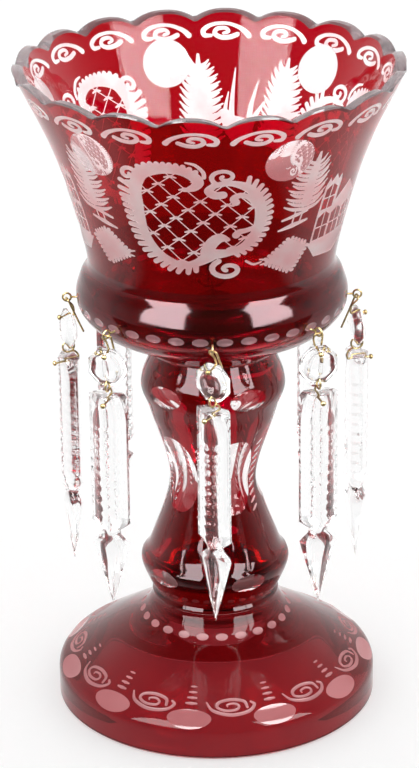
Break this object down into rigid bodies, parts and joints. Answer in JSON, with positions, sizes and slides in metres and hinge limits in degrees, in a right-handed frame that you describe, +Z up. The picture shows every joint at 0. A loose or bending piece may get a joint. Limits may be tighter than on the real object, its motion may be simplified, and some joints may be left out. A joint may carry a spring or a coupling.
{
  "type": "mantel lustre",
  "caption": "Flared scalloped glass bowl on a knopped stem and domed foot, hung round with swinging glass drops, for a mantelpiece.",
  "frame": {"origin": "centre of the foot's resting face", "axes": "+Z up along the stem; -Y is the front"},
  "size_m": [0.1728, 0.1726, 0.305],
  "materials": {
    "ruby_glass": "polished ruby stained glass with cut and etched ornament",
    "clear_glass": "polished faceted clear glass",
    "brass_wire": "drawn brass wire, slightly tarnished"
  },
  "bodies": {
    "root": {"bowl": "ruby_glass", "bowl_wafer": "ruby_glass", "stem": "ruby_glass", "foot_wafer": "ruby_glass", "foot": "ruby_glass", "eye_pin_1": "brass_wire", "eye_pin_2": "brass_wire", "eye_pin_3": "brass_wire", "eye_pin_4": "brass_wire", "eye_pin_5": "brass_wire", "eye_pin_6": "brass_wire", "eye_pin_7": "brass_wire", "eye_pin_8": "brass_wire"},
    "hook_1": {"hook_pin_1": "brass_wire"},
    "octagon_1": {"button_1": "clear_glass"},
    "pendant_1": {"link_pin_1": "brass_wire", "prism_1": "clear_glass"},
    "hook_2": {"hook_pin_2": "brass_wire"},
    "octagon_2": {"button_2": "clear_glass"},
    "pendant_2": {"link_pin_2": "brass_wire", "prism_2": "clear_glass"},
    "hook_3": {"hook_pin_3": "brass_wire"},
    "octagon_3": {"button_3": "clear_glass"},
    "pendant_3": {"link_pin_3": "brass_wire", "prism_3": "clear_glass"},
    "hook_4": {"hook_pin_4": "brass_wire"},
    "octagon_4": {"button_4": "clear_glass"},
    "pendant_4": {"link_pin_4": "brass_wire", "prism_4": "clear_glass"},
    "hook_5": {"hook_pin_5": "brass_wire"},
    "octagon_5": {"button_5": "clear_glass"},
    "pendant_5": {"link_pin_5": "brass_wire", "prism_5": "clear_glass"},
    "hook_6": {"hook_pin_6": "brass_wire"},
    "octagon_6": {"button_6": "clear_glass"},
    "pendant_6": {"link_pin_6": "brass_wire", "prism_6": "clear_glass"},
    "hook_7": {"hook_pin_7": "brass_wire"},
    "octagon_7": {"button_7": "clear_glass"},
    "pendant_7": {"link_pin_7": "brass_wire", "prism_7": "clear_glass"},
    "hook_8": {"hook_pin_8": "brass_wire"},
    "octagon_8": {"button_8": "clear_glass"},
    "pendant_8": {"link_pin_8": "brass_wire", "prism_8": "clear_glass"}
  },
  "joints": [
    {"name": "hook_swing_1", "type": "hinge", "parent": "root", "child": "hook_1", "pos_m": [0, -0.06511, 0.1953], "axis": [-0.809, 0.5878, 0], "range_deg": [-4, 60]},
    {"name": "button_sway_1", "type": "hinge", "parent": "hook_1", "child": "octagon_1", "pos_m": [0, -0.06511, 0.1867], "axis": [-0.5878, -0.809, 0], "range_deg": [-15, 15]},
    {"name": "prism_swing_1", "type": "hinge", "parent": "octagon_1", "child": "pendant_1", "pos_m": [0, -0.06511, 0.17215], "axis": [-0.809, 0.5878, 0], "range_deg": [-4, 45]},
    {"name": "hook_swing_2", "type": "hinge", "parent": "root", "child": "hook_2", "pos_m": [0.04604, -0.04604, 0.1953], "axis": [-0.9563, -0.2924, 0], "range_deg": [-4, 60]},
    {"name": "button_sway_2", "type": "hinge", "parent": "hook_2", "child": "octagon_2", "pos_m": [0.04604, -0.04604, 0.1867], "axis": [0.2924, -0.9563, 0], "range_deg": [-15, 15]},
    {"name": "prism_swing_2", "type": "hinge", "parent": "octagon_2", "child": "pendant_2", "pos_m": [0.04604, -0.04604, 0.17215], "axis": [-0.9563, -0.2924, 0], "range_deg": [-4, 45]},
    {"name": "hook_swing_3", "type": "hinge", "parent": "root", "child": "hook_3", "pos_m": [0.06511, 0, 0.1953], "axis": [0.2419, -0.9703, 0], "range_deg": [-4, 60]},
    {"name": "button_sway_3", "type": "hinge", "parent": "hook_3", "child": "octagon_3", "pos_m": [0.06511, 0, 0.1867], "axis": [0.9703, 0.2419, 0], "range_deg": [-15, 15]},
    {"name": "prism_swing_3", "type": "hinge", "parent": "octagon_3", "child": "pendant_3", "pos_m": [0.06511, 0, 0.17215], "axis": [0.2419, -0.9703, 0], "range_deg": [-4, 45]},
    {"name": "hook_swing_4", "type": "hinge", "parent": "root", "child": "hook_4", "pos_m": [0.04604, 0.04604, 0.1953], "axis": [0.5446, -0.8387, 0], "range_deg": [-4, 60]},
    {"name": "button_sway_4", "type": "hinge", "parent": "hook_4", "child": "octagon_4", "pos_m": [0.04604, 0.04604, 0.1867], "axis": [0.8387, 0.5446, 0], "range_deg": [-15, 15]},
    {"name": "prism_swing_4", "type": "hinge", "parent": "octagon_4", "child": "pendant_4", "pos_m": [0.04604, 0.04604, 0.17215], "axis": [0.5446, -0.8387, 0], "range_deg": [-4, 45]},
    {"name": "hook_swing_5", "type": "hinge", "parent": "root", "child": "hook_5", "pos_m": [0, 0.06511, 0.1953], "axis": [0.9903, 0.1392, 0], "range_deg": [-4, 60]},
    {"name": "button_sway_5", "type": "hinge", "parent": "hook_5", "child": "octagon_5", "pos_m": [0, 0.06511, 0.1867], "axis": [-0.1392, 0.9903, 0], "range_deg": [-15, 15]},
    {"name": "prism_swing_5", "type": "hinge", "parent": "octagon_5", "child": "pendant_5", "pos_m": [0, 0.06511, 0.17215], "axis": [0.9903, 0.1392, 0], "range_deg": [-4, 45]},
    {"name": "hook_swing_6", "type": "hinge", "parent": "root", "child": "hook_6", "pos_m": [-0.04604, 0.04604, 0.1953], "axis": [0.891, 0.454, 0], "range_deg": [-4, 60]},
    {"name": "button_sway_6", "type": "hinge", "parent": "hook_6", "child": "octagon_6", "pos_m": [-0.04604, 0.04604, 0.1867], "axis": [-0.454, 0.891, 0], "range_deg": [-15, 15]},
    {"name": "prism_swing_6", "type": "hinge", "parent": "octagon_6", "child": "pendant_6", "pos_m": [-0.04604, 0.04604, 0.17215], "axis": [0.891, 0.454, 0], "range_deg": [-4, 45]},
    {"name": "hook_swing_7", "type": "hinge", "parent": "root", "child": "hook_7", "pos_m": [-0.06511, 0, 0.1953], "axis": [-0.342, 0.9397, 0], "range_deg": [-4, 60]},
    {"name": "button_sway_7", "type": "hinge", "parent": "hook_7", "child": "octagon_7", "pos_m": [-0.06511, 0, 0.1867], "axis": [-0.9397, -0.342, 0], "range_deg": [-15, 15]},
    {"name": "prism_swing_7", "type": "hinge", "parent": "octagon_7", "child": "pendant_7", "pos_m": [-0.06511, 0, 0.17215], "axis": [-0.342, 0.9397, 0], "range_deg": [-4, 45]},
    {"name": "hook_swing_8", "type": "hinge", "parent": "root", "child": "hook_8", "pos_m": [-0.04604, -0.04604, 0.1953], "axis": [-0.9455, 0.3256, 0], "range_deg": [-4, 60]},
    {"name": "button_sway_8", "type": "hinge", "parent": "hook_8", "child": "octagon_8", "pos_m": [-0.04604, -0.04604, 0.1867], "axis": [-0.3256, -0.9455, 0], "range_deg": [-15, 15]},
    {"name": "prism_swing_8", "type": "hinge", "parent": "octagon_8", "child": "pendant_8", "pos_m": [-0.04604, -0.04604, 0.17215], "axis": [-0.9455, 0.3256, 0], "range_deg": [-4, 45]}
  ]
}
